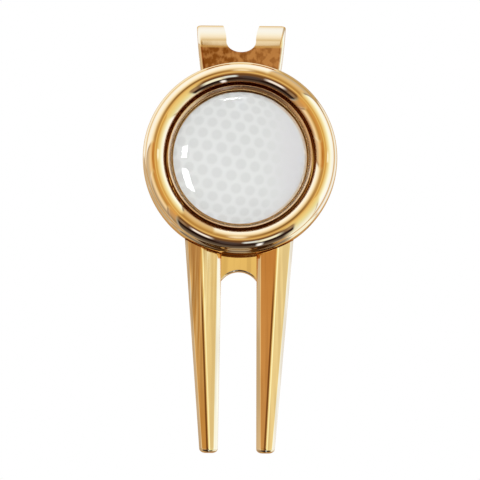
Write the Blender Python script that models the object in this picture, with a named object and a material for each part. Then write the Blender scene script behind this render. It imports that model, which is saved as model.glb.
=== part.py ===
"""Divot repair tool: a two-pronged fork, a magnetic ball marker and a spring clip.

The frame has +Z up, the prongs pointing down and the marker facing -Y. Its origin is the bottom
centre of the whole tool: level with the prong tips, on the mirror plane, midway through the depth.
Each shape is drawn about the head's axis, where it meets the head's flat back, and hangs from an
empty that stands there. Profiles of turned pieces are (radius, y) points.
"""

from math import atan2, cos, pi, radians, sin, sqrt, tan

import bmesh
import bpy

MM = 0.001

# Clearances
SEAT_GAP = 0.1 * MM       # between pieces that rest on each other
FILM_GAP = 0.05 * MM      # between the layers of the marker
MARKER_GAP = 0.2 * MM     # around the marker in its cup

# Head, from its flat back towards the front
HEAD_RADIUS = 18.0 * MM
PLATE_RADIUS = 17.85 * MM
PLATE_THICKNESS = 1.8 * MM
PLATE_CHAMFER = 0.2 * MM
TURN_STEPS = 84

# Bezel ring
RING_BORE = 13.85 * MM
RING_EDGE_RADIUS = 17.45 * MM    # where the half-round meets the outer bevel
RING_CREST = 6.3 * MM            # crest above the head's back
RING_SHOULDER = 5.0 * MM         # foot of the half-round
RING_BEVEL = 3.9 * MM            # foot of the outer bevel
HALF_ROUND_STEPS = 10

# Ball marker, 25 mm across
MARKER_RADIUS = 12.5 * MM
MARKER_RIM = 0.4 * MM
MARKER_FLOOR = 0.7 * MM
MARKER_HEIGHT = 1.25 * MM
PRINT_THICKNESS = 0.15 * MM
DOME_CROWN = 0.65 * MM           # dome's rise from its edge to its centre
DOME_STEPS = 6

# Cup that holds the marker
CUP_RADIUS = 13.45 * MM
CUP_BORE = MARKER_RADIUS + MARKER_GAP
CUP_FLOOR = 0.5 * MM
CUP_HEIGHT = 5.3 * MM            # front of its lip above the head's back
CUP_MOUTH = 13.05 * MM
CUP_STRAIGHT = 3.6 * MM          # where the bore starts to flare

# Magnet
MAGNET_RADIUS = 5.0 * MM
MAGNET_THICKNESS = 1.4 * MM
POCKET_DEPTH = 0.9 * MM

# Prongs: x is the distance from the mirror plane, z is measured from the head's axis
PRONG_TOP = -12.0 * MM
PRONG_TIP = -54.65 * MM
PRONG_INNER = (3.2 * MM, 3.55 * MM)     # inner edge at the top and at the tip
PRONG_RIDGE = (7.22 * MM, 5.26 * MM)
PRONG_OUTER = (10.28 * MM, 6.9 * MM)
PRONG_WALL = (1.5 * MM, 1.28 * MM)      # height of the flat side walls
PRONG_DRAFT = (0.7 * MM, 0.52 * MM)     # height of the narrow drafted strips
PRONG_RISE = (0.65 * MM, 0.25 * MM)     # height of the ridge over those strips
INNER_STRIP = 0.72 * MM
OUTER_STRIP = 0.45 * MM
PRONG_BACK = 0.3 * MM                   # the prongs' flat back lies this far in front of the head's
TIP_ROUND = 0.8 * MM
TIP_STEPS = 5
RING_CLEARANCE = 0.15 * MM              # from the bezel ring's side to the prongs' shoulders

# Web between the prongs
WEB_FRONT = 1.45 * MM
WEB_TOP = -14.0 * MM
ARCH_TOP = -20.95 * MM
ARCH_RADIUS = 4.0 * MM
ARCH_STEPS = 12

# Spring clip: one bent strip
STRIP_THICKNESS = 1.1 * MM
STRIP_BEVEL = (0.8 * MM, 0.4 * MM)      # width across the strip, depth through it
STRIP_NARROW = 7.2 * MM                 # half width behind the head
STRIP_WIDE = 8.35 * MM                  # half width at the top of the bend
STRIP_FLARE = (16.0 * MM, 26.3 * MM)    # heights between which it widens
LEG_BOTTOM = -9.5 * MM
BEND_START = 21.5 * MM
BEND_HEIGHT = 4.8 * MM                  # outer half axis of the bend, upwards
BEND_DEPTH = 3.75 * MM                  # outer half axis of the bend, backwards
BEND_STEPS = 20
BEND_TAIL = 1.6 * MM                    # straight run past the bend, before the arm's hinge line
ARM_LEAN = radians(9.0)
ARM_SPLIT = 0.3 * MM
ARM_PINCH = -8.0 * MM                   # height where the arm comes nearest to the fixed leg
LIP_TURN = radians(40)                  # how far the arm's lower lip turns outwards
LIP_RADIUS = 4.0 * MM
LIP_LENGTH = 2.6 * MM
LIP_STEPS = 6
ARM_TONGUE = 5.2 * MM                   # half width at the end of the lip
NOTCH_HALF = 2.75 * MM                  # half width of the notch above its rounded bottom
NOTCH_ROUND = 2.0 * MM                  # height of that bottom, half an ellipse
NOTCH_BOTTOM = 20.65 * MM
NOTCH_MOUTH = 3.45 * MM                 # half width at the top of the bend
NOTCH_STEPS = 12
FLARE_STEPS = 4
CUT_MARGIN = 3.0 * MM                   # how far cutters reach past what they cut

# Rivets
RIVET_RADIUS = 1.0 * MM
RIVET_HEAD = 1.8 * MM
RIVET_DOME = 0.6 * MM
RIVET_DEPTH = 1.2 * MM                  # how far the shank reaches into the head plate
RIVET_X = 4.3 * MM
RIVET_Z = 9.6 * MM
RIVET_STEPS = 24

# Where the head's axis meets the head's back, in the tool's frame
HEAD_CENTRE = (0.0, -0.65 * MM, -PRONG_TIP)

SHARP_ANGLE = radians(32)


def clear_scene():
    for item in list(bpy.data.objects):
        bpy.data.objects.remove(item)


def principled(name, colour, metallic, roughness, alpha=1.0):
    material = bpy.data.materials.new(name)
    material.use_nodes = True
    shader = material.node_tree.nodes["Principled BSDF"]
    shader.inputs["Base Color"].default_value = (*colour, 1.0)
    shader.inputs["Metallic"].default_value = metallic
    shader.inputs["Roughness"].default_value = roughness
    shader.inputs["Alpha"].default_value = alpha
    return material


def solid(name, mesh, material, parent=None, at=(0, 0, 0)):
    """Turns a bmesh into an object whose faces point out, drawn about `at` and placed there."""
    bmesh.ops.remove_doubles(mesh, verts=mesh.verts, dist=1e-7)
    bmesh.ops.recalc_face_normals(mesh, faces=mesh.faces)
    bmesh.ops.translate(mesh, verts=mesh.verts, vec=[-value for value in at])
    data = bpy.data.meshes.new(name)
    mesh.to_mesh(data)
    mesh.free()
    data.shade_smooth()
    data.set_sharp_from_angle(angle=SHARP_ANGLE)
    if material:
        data.materials.append(material)
    item = bpy.data.objects.new(name, data)
    bpy.context.scene.collection.objects.link(item)
    item.parent = parent
    item.location = at
    return item


def boolean(target, tool, operation):
    """Joins a helper to the target, or cuts it away, and hides the helper."""
    modifier = target.modifiers.new(f"{operation.lower()}_{tool.name}", "BOOLEAN")
    modifier.operation = operation
    modifier.solver = "EXACT"
    modifier.object = tool
    tool.hide_render = True
    tool.display_type = "WIRE"


def between(ends, share):
    return ends[0] + (ends[1] - ends[0]) * share


def turned_mesh(profile, axis_x=0.0, axis_z=0.0, steps=TURN_STEPS):
    """A solid of revolution about a line along Y. A profile that starts and ends on the line stays open."""
    mesh = bmesh.new()
    points = [mesh.verts.new((axis_x + radius, y, axis_z)) for radius, y in profile]
    edges = [mesh.edges.new(pair) for pair in zip(points, points[1:])]
    if profile[0][0] > 0 or profile[-1][0] > 0:
        edges.append(mesh.edges.new((points[-1], points[0])))
    bmesh.ops.spin(
        mesh, geom=points + edges, cent=(axis_x, 0, axis_z), axis=(0, 1, 0),
        angle=2 * pi, steps=steps,
    )
    return mesh


def lofted_mesh(sections):
    """A closed skin over rings of equally many points, with a cap at each end."""
    mesh = bmesh.new()
    rings = [[mesh.verts.new(point) for point in section] for section in sections]
    for lower, upper in zip(rings, rings[1:]):
        for i in range(len(lower)):
            j = (i + 1) % len(lower)
            mesh.faces.new((lower[i], lower[j], upper[j], upper[i]))
    mesh.faces.new(rings[0])
    mesh.faces.new(reversed(rings[-1]))
    return mesh


def prism_mesh(outline, front, back):
    """An outline of (x, z) points, extruded from y = front to y = back."""
    return lofted_mesh([[(x, y, z) for x, z in outline] for y in (front, back)])


# Fork


def prong_section(z, share, inset):
    """The prong's cross-section at height z: flat back, side walls, drafted strips and a ridge."""
    inner = between(PRONG_INNER, share) + inset
    outer = between(PRONG_OUTER, share) - inset
    ridge = between(PRONG_RIDGE, share)
    wall = between(PRONG_WALL, share)
    strip = wall + between(PRONG_DRAFT, share)
    top = strip + between(PRONG_RISE, share)
    shrink = 1 - 0.25 * inset / TIP_ROUND
    points = (
        (inner, 0), (outer, 0), (outer, wall), (outer - OUTER_STRIP * shrink, strip * shrink),
        (ridge, top * shrink), (inner + INNER_STRIP * shrink, strip * shrink), (inner, wall),
    )
    return [(x, -PRONG_BACK - height, z) for x, height in points]


def prong_mesh(side):
    """One prong, tapering to a rounded tip; side is 1 for the right prong and -1 for the left."""
    length = PRONG_TOP - PRONG_TIP
    stations = [(PRONG_TOP, 0.0)]
    for step in range(TIP_STEPS + 1):
        angle = pi / 2 * step / TIP_STEPS
        above_tip = TIP_ROUND * (1 - sin(angle))
        stations.append((PRONG_TIP + above_tip, TIP_ROUND * (1 - cos(angle))))
    mesh = lofted_mesh([prong_section(z, (PRONG_TOP - z) / length, inset) for z, inset in stations])
    bmesh.ops.scale(mesh, verts=mesh.verts, vec=(side, 1, 1))
    return mesh


def web_mesh():
    """The web between the prongs, whose lower edge is an arch."""
    reach = (PRONG_INNER[0] + PRONG_RIDGE[0]) / 2
    half_chord = between(PRONG_INNER, 0.25)
    centre = ARCH_TOP - ARCH_RADIUS
    half_angle = atan2(half_chord, sqrt(ARCH_RADIUS**2 - half_chord**2))
    arch = []
    for step in range(ARCH_STEPS + 1):
        angle = half_angle * (1 - 2 * step / ARCH_STEPS)
        arch.append((ARCH_RADIUS * sin(angle), centre + ARCH_RADIUS * cos(angle)))
    spring = arch[0][1]
    outline = [(-reach, WEB_TOP), (reach, WEB_TOP), (reach, spring), *arch, (-reach, spring)]
    return prism_mesh(outline, -WEB_FRONT, -PRONG_BACK)


def fork_body(material, parent):
    """The die-cast fork: a round head plate, two prongs and the web, with its pocket and rivet holes."""
    rim, front = PLATE_RADIUS, -PLATE_THICKNESS
    plate = turned_mesh([
        (0, 0), (rim - PLATE_CHAMFER, 0), (rim, -PLATE_CHAMFER), (rim, front + PLATE_CHAMFER),
        (rim - PLATE_CHAMFER, front), (0, front),
    ])
    body = solid("fork_body", plate, material, parent)
    ring_space = turned_mesh([
        (0, front), (HEAD_RADIUS + RING_CLEARANCE, front),
        (HEAD_RADIUS + RING_CLEARANCE, -RING_CREST), (0, -RING_CREST),
    ])
    cutter = solid("ring_space", ring_space, None, parent)
    for side, name in ((-1, "left"), (1, "right")):
        prong = solid(f"prong_{name}", prong_mesh(side), None, parent)
        boolean(prong, cutter, "DIFFERENCE")
        boolean(body, prong, "UNION")
    boolean(body, solid("web", web_mesh(), None, parent), "UNION")
    pocket_radius = MAGNET_RADIUS + SEAT_GAP
    pocket_floor = front + POCKET_DEPTH
    pocket = turned_mesh([
        (0, pocket_floor), (pocket_radius, pocket_floor),
        (pocket_radius, front - CUT_MARGIN), (0, front - CUT_MARGIN),
    ])
    boolean(body, solid("magnet_pocket", pocket, None, parent), "DIFFERENCE")
    for side, name in ((-1, "left"), (1, "right")):
        hole_radius = RIVET_RADIUS + SEAT_GAP
        hole = turned_mesh([
            (0, CUT_MARGIN), (hole_radius, CUT_MARGIN),
            (hole_radius, -RIVET_DEPTH - SEAT_GAP), (0, -RIVET_DEPTH - SEAT_GAP),
        ], side * RIVET_X, RIVET_Z, RIVET_STEPS)
        boolean(body, solid(f"plate_hole_{name}", hole, None, parent), "DIFFERENCE")
    return body


# Head


def bezel_ring(material, parent):
    """The ring: a half-round front, a bevelled shoulder and a straight side."""
    back = -PLATE_THICKNESS - SEAT_GAP
    middle = (RING_BORE + RING_EDGE_RADIUS) / 2
    half_width = (RING_EDGE_RADIUS - RING_BORE) / 2
    height = RING_CREST - RING_SHOULDER
    profile = [(RING_BORE, back)]
    for step in range(HALF_ROUND_STEPS + 1):
        angle = pi * (1 - step / HALF_ROUND_STEPS)
        profile.append((middle + half_width * cos(angle), -RING_SHOULDER - height * sin(angle)))
    profile += [
        (HEAD_RADIUS - PLATE_CHAMFER, -RING_BEVEL - PLATE_CHAMFER),
        (HEAD_RADIUS, -RING_BEVEL + PLATE_CHAMFER),
        (HEAD_RADIUS, back - PLATE_CHAMFER),
        (HEAD_RADIUS - PLATE_CHAMFER, back),
    ]
    return solid("bezel_ring", turned_mesh(profile), material, parent)


def seat_cup(material, parent):
    """The pressed cup inside the ring: a floor with the magnet's opening, and a flared lip."""
    back = -PLATE_THICKNESS - SEAT_GAP
    floor = back - CUP_FLOOR
    opening = MAGNET_RADIUS + SEAT_GAP
    lip = (CUP_RADIUS - CUP_MOUTH) / 2
    profile = [
        (opening, back), (CUP_RADIUS, back), (CUP_RADIUS, -CUP_HEIGHT + lip / 2),
        (CUP_RADIUS - lip / 2, -CUP_HEIGHT), (CUP_MOUTH + lip / 2, -CUP_HEIGHT),
        (CUP_MOUTH, -CUP_HEIGHT + lip / 2), (CUP_BORE, -CUP_STRAIGHT), (CUP_BORE, floor),
        (opening, floor),
    ]
    return solid("seat_cup", turned_mesh(profile), material, parent)


def magnet(material, parent):
    """The disc magnet, glued into the plate's pocket and level with the cup's floor."""
    back = -PLATE_THICKNESS + POCKET_DEPTH - SEAT_GAP
    front = back - MAGNET_THICKNESS
    edge = MAGNET_RADIUS - PLATE_CHAMFER
    profile = [(0, back), (MAGNET_RADIUS, back), (MAGNET_RADIUS, front + PLATE_CHAMFER),
               (edge, front), (0, front)]
    return solid("magnet", turned_mesh(profile), material, parent)


# Ball marker


def marker_back():
    """The y of the marker's back, resting on the cup's floor."""
    return -PLATE_THICKNESS - 2 * SEAT_GAP - CUP_FLOOR


def marker_disc(material, parent):
    """The steel dish of the marker, with a thin raised rim."""
    back = marker_back()
    floor, front = back - MARKER_FLOOR, back - MARKER_HEIGHT
    inside, edge = MARKER_RADIUS - MARKER_RIM, MARKER_RIM / 4
    profile = [
        (0, back), (MARKER_RADIUS - edge, back), (MARKER_RADIUS, back - edge),
        (MARKER_RADIUS, front + edge), (MARKER_RADIUS - edge, front), (inside, front),
        (inside, floor), (0, floor),
    ]
    return solid("marker_disc", turned_mesh(profile), material, parent, (0, back, 0))


def marker_print(material, parent):
    """The printed sheet that lies in the dish."""
    back = marker_back() - MARKER_FLOOR - FILM_GAP
    front = back - PRINT_THICKNESS
    radius = MARKER_RADIUS - MARKER_RIM - FILM_GAP
    profile = [(0, back), (radius, back), (radius, front), (0, front)]
    return solid("marker_print", turned_mesh(profile), material, parent, (0, back, 0))


def marker_dome(material, parent):
    """The clear resin dome over the print."""
    back = marker_back() - MARKER_FLOOR - PRINT_THICKNESS - 2 * FILM_GAP
    edge = marker_back() - MARKER_HEIGHT
    radius = MARKER_RADIUS - MARKER_RIM - FILM_GAP
    profile = [(0, back), (radius, back)]
    for step in range(DOME_STEPS + 1):
        across = 1 - step / DOME_STEPS
        profile.append((radius * across, edge - DOME_CROWN * (1 - across**2)))
    return solid("marker_dome", turned_mesh(profile), material, parent, (0, back, 0))


# Spring clip


def strip_half_width(z):
    """The strip is narrow behind the head and widens smoothly towards the bend."""
    low, high = STRIP_FLARE
    share = min(max((z - low) / (high - low), 0), 1)
    return between((STRIP_NARROW, STRIP_WIDE), share * (1.5 - 0.5 * share))


def strip_section(y, z, lean, half_width):
    """A bevelled rectangle across the strip; lean is the strip's direction, 0 where it runs up."""
    half = STRIP_THICKNESS / 2
    flat_x, side = half_width - STRIP_BEVEL[0], half - STRIP_BEVEL[1]
    corners = [
        (flat_x, -half), (half_width, -side), (half_width, side), (flat_x, half),
        (-flat_x, half), (-half_width, side), (-half_width, -side), (-flat_x, -half),
    ]
    return [(x, y + depth * cos(lean), z - depth * sin(lean)) for x, depth in corners]


def leg_y():
    """The y of the fixed leg's middle plane, behind the head."""
    return SEAT_GAP + STRIP_THICKNESS / 2


def bend_path():
    """Middle line of the fixed leg and the bend, as (y, z, lean), and the hinge point at its end."""
    across = BEND_DEPTH - STRIP_THICKNESS / 2
    upward = BEND_HEIGHT - STRIP_THICKNESS / 2
    centre_y = leg_y() + across
    last = atan2(tan(ARM_LEAN) * upward, across)
    path = [(leg_y(), LEG_BOTTOM, 0.0), (leg_y(), STRIP_FLARE[0], 0.0)]
    for step in range(BEND_STEPS + 1):
        angle = pi - (pi + last) * step / BEND_STEPS
        lean = atan2(across * sin(angle), -upward * cos(angle))
        path.append((centre_y + across * cos(angle), BEND_START + upward * sin(angle), lean))
    y, z, lean = path[-1]
    path.append((y + BEND_TAIL * sin(lean), z + BEND_TAIL * cos(lean), lean))
    y, z, lean = path[-1]
    hinge = (y + ARM_SPLIT / 2 * sin(lean), z + ARM_SPLIT / 2 * cos(lean))
    return path, hinge


def clip_notch(parent):
    """A U-shaped cutter through the bend, flaring ever more towards its mouth."""
    centre = NOTCH_BOTTOM + NOTCH_ROUND
    height = BEND_START + BEND_HEIGHT - centre
    top_share = 1 + CUT_MARGIN / height
    side = []
    for step in range(FLARE_STEPS):
        share = top_share * (1 - step / FLARE_STEPS)
        side.append((between((NOTCH_HALF, NOTCH_MOUTH), share**2), centre + height * share))
    outline = list(side)
    for step in range(NOTCH_STEPS + 1):
        angle = -pi * step / NOTCH_STEPS
        outline.append((NOTCH_HALF * cos(angle), centre + NOTCH_ROUND * sin(angle)))
    outline += [(-x, z) for x, z in reversed(side)]
    return solid("notch", prism_mesh(outline, -CUT_MARGIN, 2 * BEND_DEPTH + CUT_MARGIN), None, parent)


def clip_plate(material, parent):
    """The strip's fixed leg and its bend, notched at the top and drilled for the rivets."""
    path, _ = bend_path()
    sections = [strip_section(y, z, lean, strip_half_width(z)) for y, z, lean in path]
    plate = solid("clip_plate", lofted_mesh(sections), material, parent)
    boolean(plate, clip_notch(parent), "DIFFERENCE")
    for side, name in ((-1, "left"), (1, "right")):
        hole_radius = RIVET_RADIUS + SEAT_GAP
        hole = turned_mesh([
            (0, CUT_MARGIN), (hole_radius, CUT_MARGIN),
            (hole_radius, -CUT_MARGIN), (0, -CUT_MARGIN),
        ], side * RIVET_X, RIVET_Z, RIVET_STEPS)
        boolean(plate, solid(f"clip_hole_{name}", hole, None, parent), "DIFFERENCE")
    return plate


def arm_path():
    """Middle line of the moving arm: down to the pinch, then out along the lip."""
    _, (hinge_y, hinge_z) = bend_path()
    lean = pi + ARM_LEAN
    start_y = hinge_y + ARM_SPLIT / 2 * sin(lean)
    start_z = hinge_z + ARM_SPLIT / 2 * cos(lean)
    run = (start_z - ARM_PINCH) / cos(ARM_LEAN)
    y, z = start_y - run * sin(ARM_LEAN), ARM_PINCH
    path = [(start_y, start_z, lean), (between((start_y, y), 0.5), between((start_z, z), 0.5), lean)]
    path.append((y, z, lean))
    for step in range(LIP_STEPS):
        lean -= LIP_TURN / LIP_STEPS
        y += LIP_RADIUS * LIP_TURN / LIP_STEPS * sin(lean)
        z += LIP_RADIUS * LIP_TURN / LIP_STEPS * cos(lean)
        path.append((y, z, lean))
    path.append((y + LIP_LENGTH * sin(lean), z + LIP_LENGTH * cos(lean), lean))
    return path


def clip_arm(material, parent):
    """The strip's moving arm, which narrows to a tongue at its outturned lip."""
    _, (hinge_y, hinge_z) = bend_path()
    path = arm_path()
    end = path[-1][1]
    sections = []
    for y, z, lean in path:
        share = max((ARM_PINCH - z) / (ARM_PINCH - end), 0)
        half_width = between((strip_half_width(z), ARM_TONGUE), share**2)
        sections.append(strip_section(y, z, lean, half_width))
    return solid("clip_arm", lofted_mesh(sections), material, parent, (0, hinge_y, hinge_z))


def clip_rivet(name, side, material, parent):
    """A domed rivet through the fixed leg into the head plate."""
    seat = 2 * SEAT_GAP + STRIP_THICKNESS
    profile = [(0, -RIVET_DEPTH), (RIVET_RADIUS, -RIVET_DEPTH), (RIVET_RADIUS, seat), (RIVET_HEAD, seat)]
    for step in range(1, DOME_STEPS + 1):
        angle = pi / 2 * step / DOME_STEPS
        profile.append((RIVET_HEAD * cos(angle), seat + RIVET_DOME * sin(angle)))
    profile[-1] = (0, seat + RIVET_DOME)
    mesh = turned_mesh(profile, side * RIVET_X, RIVET_Z, RIVET_STEPS)
    return solid(name, mesh, material, parent, (side * RIVET_X, 0, RIVET_Z))


def main():
    clear_scene()
    head = bpy.data.objects.new("head_centre", None)
    head.location = HEAD_CENTRE
    bpy.context.scene.collection.objects.link(head)
    gold = principled("gold_plate", (0.86, 0.58, 0.24), 1.0, 0.12)
    satin_gold = principled("satin_gold", (0.78, 0.52, 0.30), 1.0, 0.25)
    steel = principled("bright_steel", (0.72, 0.72, 0.74), 1.0, 0.25)
    printed = principled("printed_sheet", (0.82, 0.83, 0.84), 0.0, 0.5)
    resin = principled("clear_resin", (0.95, 0.96, 0.97), 0.0, 0.05, 0.35)
    fork_body(gold, head)
    bezel_ring(gold, head)
    seat_cup(satin_gold, head)
    magnet(steel, head)
    marker_disc(gold, head)
    marker_print(printed, head)
    marker_dome(resin, head)
    clip_plate(gold, head)
    clip_arm(gold, head)
    clip_rivet("clip_rivet_left", -1, satin_gold, head)
    clip_rivet("clip_rivet_right", 1, satin_gold, head)


main()
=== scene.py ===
"""Looks of the divot repair tool: finely rounded shapes, plated and printed surfaces, studio light.

Lengths are in metres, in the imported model's frame: +Z up, the marker facing -Y. Turned pieces are
drawn as profiles of (radius, depth) points, where depth runs forwards from the head's flat back.
"""

from math import asin, atan2, cos, pi, radians, sin, sqrt, tan

import bmesh
import bpy
from mathutils import Matrix, Vector


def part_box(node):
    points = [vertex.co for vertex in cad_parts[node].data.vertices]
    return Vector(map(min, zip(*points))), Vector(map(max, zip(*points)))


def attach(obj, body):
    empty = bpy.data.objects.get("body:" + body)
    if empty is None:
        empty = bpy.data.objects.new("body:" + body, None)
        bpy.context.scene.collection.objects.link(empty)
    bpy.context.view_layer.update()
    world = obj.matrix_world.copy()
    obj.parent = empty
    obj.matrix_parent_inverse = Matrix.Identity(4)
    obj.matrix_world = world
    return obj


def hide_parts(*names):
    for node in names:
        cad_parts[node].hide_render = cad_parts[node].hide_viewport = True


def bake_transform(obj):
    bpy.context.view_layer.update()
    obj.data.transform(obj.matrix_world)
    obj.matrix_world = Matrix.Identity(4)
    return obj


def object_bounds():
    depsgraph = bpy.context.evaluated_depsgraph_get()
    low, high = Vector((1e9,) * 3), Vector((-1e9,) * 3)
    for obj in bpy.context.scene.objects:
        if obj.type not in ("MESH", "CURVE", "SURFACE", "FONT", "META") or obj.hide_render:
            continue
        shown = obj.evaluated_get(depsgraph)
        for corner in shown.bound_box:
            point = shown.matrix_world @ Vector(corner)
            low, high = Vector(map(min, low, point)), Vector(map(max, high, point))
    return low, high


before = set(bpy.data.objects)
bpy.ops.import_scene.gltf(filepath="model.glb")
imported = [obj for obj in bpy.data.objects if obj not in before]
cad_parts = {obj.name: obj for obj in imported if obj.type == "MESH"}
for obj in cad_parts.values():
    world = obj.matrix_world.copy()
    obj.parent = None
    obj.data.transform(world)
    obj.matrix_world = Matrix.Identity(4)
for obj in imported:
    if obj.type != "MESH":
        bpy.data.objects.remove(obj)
cad_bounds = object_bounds()

MM = 0.001

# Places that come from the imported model
RING_LOW, RING_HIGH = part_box("bezel_ring")
CUP_LOW, CUP_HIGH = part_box("seat_cup")
DISC_LOW, DISC_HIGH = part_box("marker_disc")
PRINT_LOW, PRINT_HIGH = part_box("marker_print")
DOME_LOW, DOME_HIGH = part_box("marker_dome")
FORK_LOW, FORK_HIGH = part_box("fork_body")
PLATE_LOW, PLATE_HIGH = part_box("clip_plate")
MAGNET_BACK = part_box("magnet")[1].y
MAGNET_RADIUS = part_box("magnet")[1].x
BACK = FORK_HIGH.y                            # the head's flat back
AXIS_Z = (RING_LOW.z + RING_HIGH.z) / 2       # height of the head's axis
HEAD_RADIUS = RING_HIGH.x
MARKER_RADIUS = DISC_HIGH.x
HEAD_HEIGHT = AXIS_Z - FORK_LOW.z             # from the prong tips up to that axis

# Head, as (radius, depth)
RING_BORE = 13.85 * MM
RING_EDGE_RADIUS = 17.45 * MM                 # where the half-round meets the outer bevel
RING_CREST_RADIUS = 15.75 * MM                # a little outside the middle of its two feet
RING_SHOULDER_ROUND = 0.45 * MM               # rounding between half-round and bevel
RING_SIDE_ROUND = 0.2 * MM                    # rounding between bevel and side
RING_BORE_ROUND = 0.1 * MM
RING_SHOULDER = 5.0 * MM                      # depth of the half-round's feet
RING_BEVEL = 4.3 * MM                         # depth of the outer bevel's foot
CUP_BORE = 12.62 * MM
CUP_MOUTH = 13.25 * MM
CUP_STRAIGHT = 4.65 * MM                      # depth where the cup's bore starts to flare
CUP_FLOOR = 0.5 * MM
SEAT_GAP = 0.1 * MM
PLATE_THICKNESS = 1.8 * MM
PLATE_ROUND = (0.25 * MM, 0.2 * MM)           # rounding of its back and front edges
MARKER_FLOOR = 0.7 * MM
MARKER_RIM = 0.12 * MM
PRINT_RADIUS = MARKER_RADIUS - MARKER_RIM - 0.025 * MM
PRINT_ROUND = 0.04 * MM
DOME_EDGE = 0.3 * MM                          # height of the dome's upright edge
DOME_POWER = 5.0                              # the dome is nearly flat and falls off at its edge

# Prongs: x from the mirror plane, z from the head's axis, (top, tip)
PRONG_TOP = -12.0 * MM
PRONG_INNER = (3.2 * MM, 3.55 * MM)
PRONG_RIDGE = (7.22 * MM, 5.26 * MM)
PRONG_OUTER = (10.28 * MM, 6.9 * MM)
PRONG_WALL = (1.5 * MM, 1.28 * MM)
PRONG_DRAFT = (0.7 * MM, 0.52 * MM)
PRONG_RISE = (0.65 * MM, 0.25 * MM)
INNER_STRIP = 0.72 * MM
OUTER_STRIP = 0.45 * MM
PRONG_BACK = 0.3 * MM
TIP_ROUND = 1.05 * MM                         # how far the tip's outline draws in
TIP_HEIGHT = 0.75 * MM                        # height over which it does
TIP_LOWER = 0.08                              # share of their height that ridge and strips lose there
TIP_NARROWER = 0.4                            # share of their width that the strips lose there
RING_CLEARANCE = 0.15 * MM
WEB_FRONT = 1.45 * MM
WEB_TOP = -14.0 * MM
WEB_EDGE = 0.35 * MM                          # rounding of the arch's front edge
ARCH_TOP = -20.95 * MM
ARCH_RADIUS = 4.0 * MM
ARCH_SHARE = 0.25                             # share of the prongs' length where the arch springs

# Clip strip
STRIP_THICKNESS = 1.1 * MM
STRIP_NARROW = 7.2 * MM
STRIP_WIDE = PLATE_HIGH.x
STRIP_FLARE = (16.0 * MM, 26.3 * MM)
STRIP_BEVEL = (0.8 * MM, 0.4 * MM)            # rounded edge: width across the strip, depth through it
BEND_START = 21.5 * MM
BEND_HEIGHT = 4.8 * MM
BEND_DEPTH = 3.75 * MM
BEND_TAIL = 0.9 * MM                          # straight run of the fixed piece past the bend
ARM_LEAN = radians(9.0)
ARM_PINCH = -8.0 * MM
LIP_TURN = radians(40)
LIP_RADIUS = 4.0 * MM
LIP_LENGTH = 2.6 * MM
ARM_TONGUE = 5.2 * MM
ARM_BLEND = 7.0 * MM                          # length from the tongue's start to a point that is worked out but not used
NOTCH_HALF = 2.75 * MM
NOTCH_ROUND = 2.0 * MM
NOTCH_BOTTOM = 20.65 * MM
NOTCH_MOUTH = 3.45 * MM
CUT_MARGIN = 3.0 * MM

# Marker print, in millimetres about the head's axis: a ball seen off centre, with its dimples
BALL_CENTRE = (-2.5, -0.7)
BALL_RADIUS = 14.8
DIMPLE_PITCH = 2.75
DIMPLE_RADIUS = 1.0
DIMPLE_SOFT = 0.3
DIMPLE_TURN = radians(10)

# Smoothness
TURN_STEPS = 240
CORNER_STEPS = 4
HALF_ROUND_STEPS = 32
SHOULDER_STEPS = 10
DOME_STEPS = 28
RIDGE_ROUND = 0.22 * MM
PRONG_STEPS = 6
TIP_STEPS = 8
ARCH_STEPS = 24
FLARE_STEPS = 6
BEND_STEPS = 48
NOTCH_STEPS = 32
ARM_STEPS = 14
LIP_STEPS = 8
SHARP_ANGLE = radians(40)

# Metal colours, linear; a pair holds the two shades between which a surface is clouded
GOLD = (0.83, 0.56, 0.27)                     # plain gold's tint; the room's looks over it give its light
GOLD_SHADES = ((0.80, 0.52, 0.24, 1), (0.86, 0.60, 0.31, 1))
CUP_SHADES = ((0.68, 0.40, 0.18, 1), (0.76, 0.46, 0.22, 1))
RIM_SHADES = ((0.84, 0.58, 0.32, 1), (0.90, 0.68, 0.42, 1))
STRIP_SHADES = ((0.74, 0.47, 0.22, 1), (0.84, 0.60, 0.33, 1))
NICKEL_SHADES = ((0.55, 0.55, 0.56, 1), (0.70, 0.69, 0.68, 1))
# stain mottling and painted dark reflection on the clip strip's flat front
STAIN_AND_DARK_REFLECTION_SHADES = ((0.26, 0.085, 0.018, 1), (0.56, 0.27, 0.13, 1))
PLAIN_STRIP_GOLD = (0.80, 0.56, 0.30, 1)
DARK_STREAK = (0.50, 0.30, 0.13, 1)
BRIGHT_STREAK = (1.0, 0.85, 0.55, 1)
# painted dark reflection and painted highlight along the prongs' ridges
RIDGE_DARK_REFLECTION = (0.27, 0.13, 0.045, 1)
RIDGE_HIGHLIGHT = (1.0, 0.82, 0.52, 1)
# painted shade in the groove between ring and cup
GROOVE_SHADE = (0.17, 0.05, 0.012, 1)
# painted shade, reddish brown, on the ring towards its bore
BORE_SHADE = (0.75, 0.52, 0.45, 1)             # multiplies the ring's gold at its bore

# Marks on the plating, and the groove whose shade is painted
STREAK_DEPTH = 0.12 * MM                      # relief of the polishing streaks on the left prong
PEEL_DEPTH = 0.0003 * MM                      # of the finest ripples, all over
GROOVE = (13.58, 13.87)                       # radii of the groove between ring and cup, in millimetres

# Floor and lamps
FLOOR_SIZE = 2.0
FLOOR_FADE = (0.12, 0.7)                      # distances over which it fades into the white room
FLOOR_GAP = 0.1 * MM
SOFTBOX_DISTANCE = 0.5
# Name, direction (azimuth, elevation), width and height as angles, power; the angles are in degrees
SOFTBOXES = [
    ("window_pane_low", (-16.4, 2.4), (6.6, 7.6), 0.48),
    ("window_pane_high", (-16.4, 11.0), (5.6, 3.4), 0.22),
    ("window_top", (-3, 31), (6, 1), 0.3),
]

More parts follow.
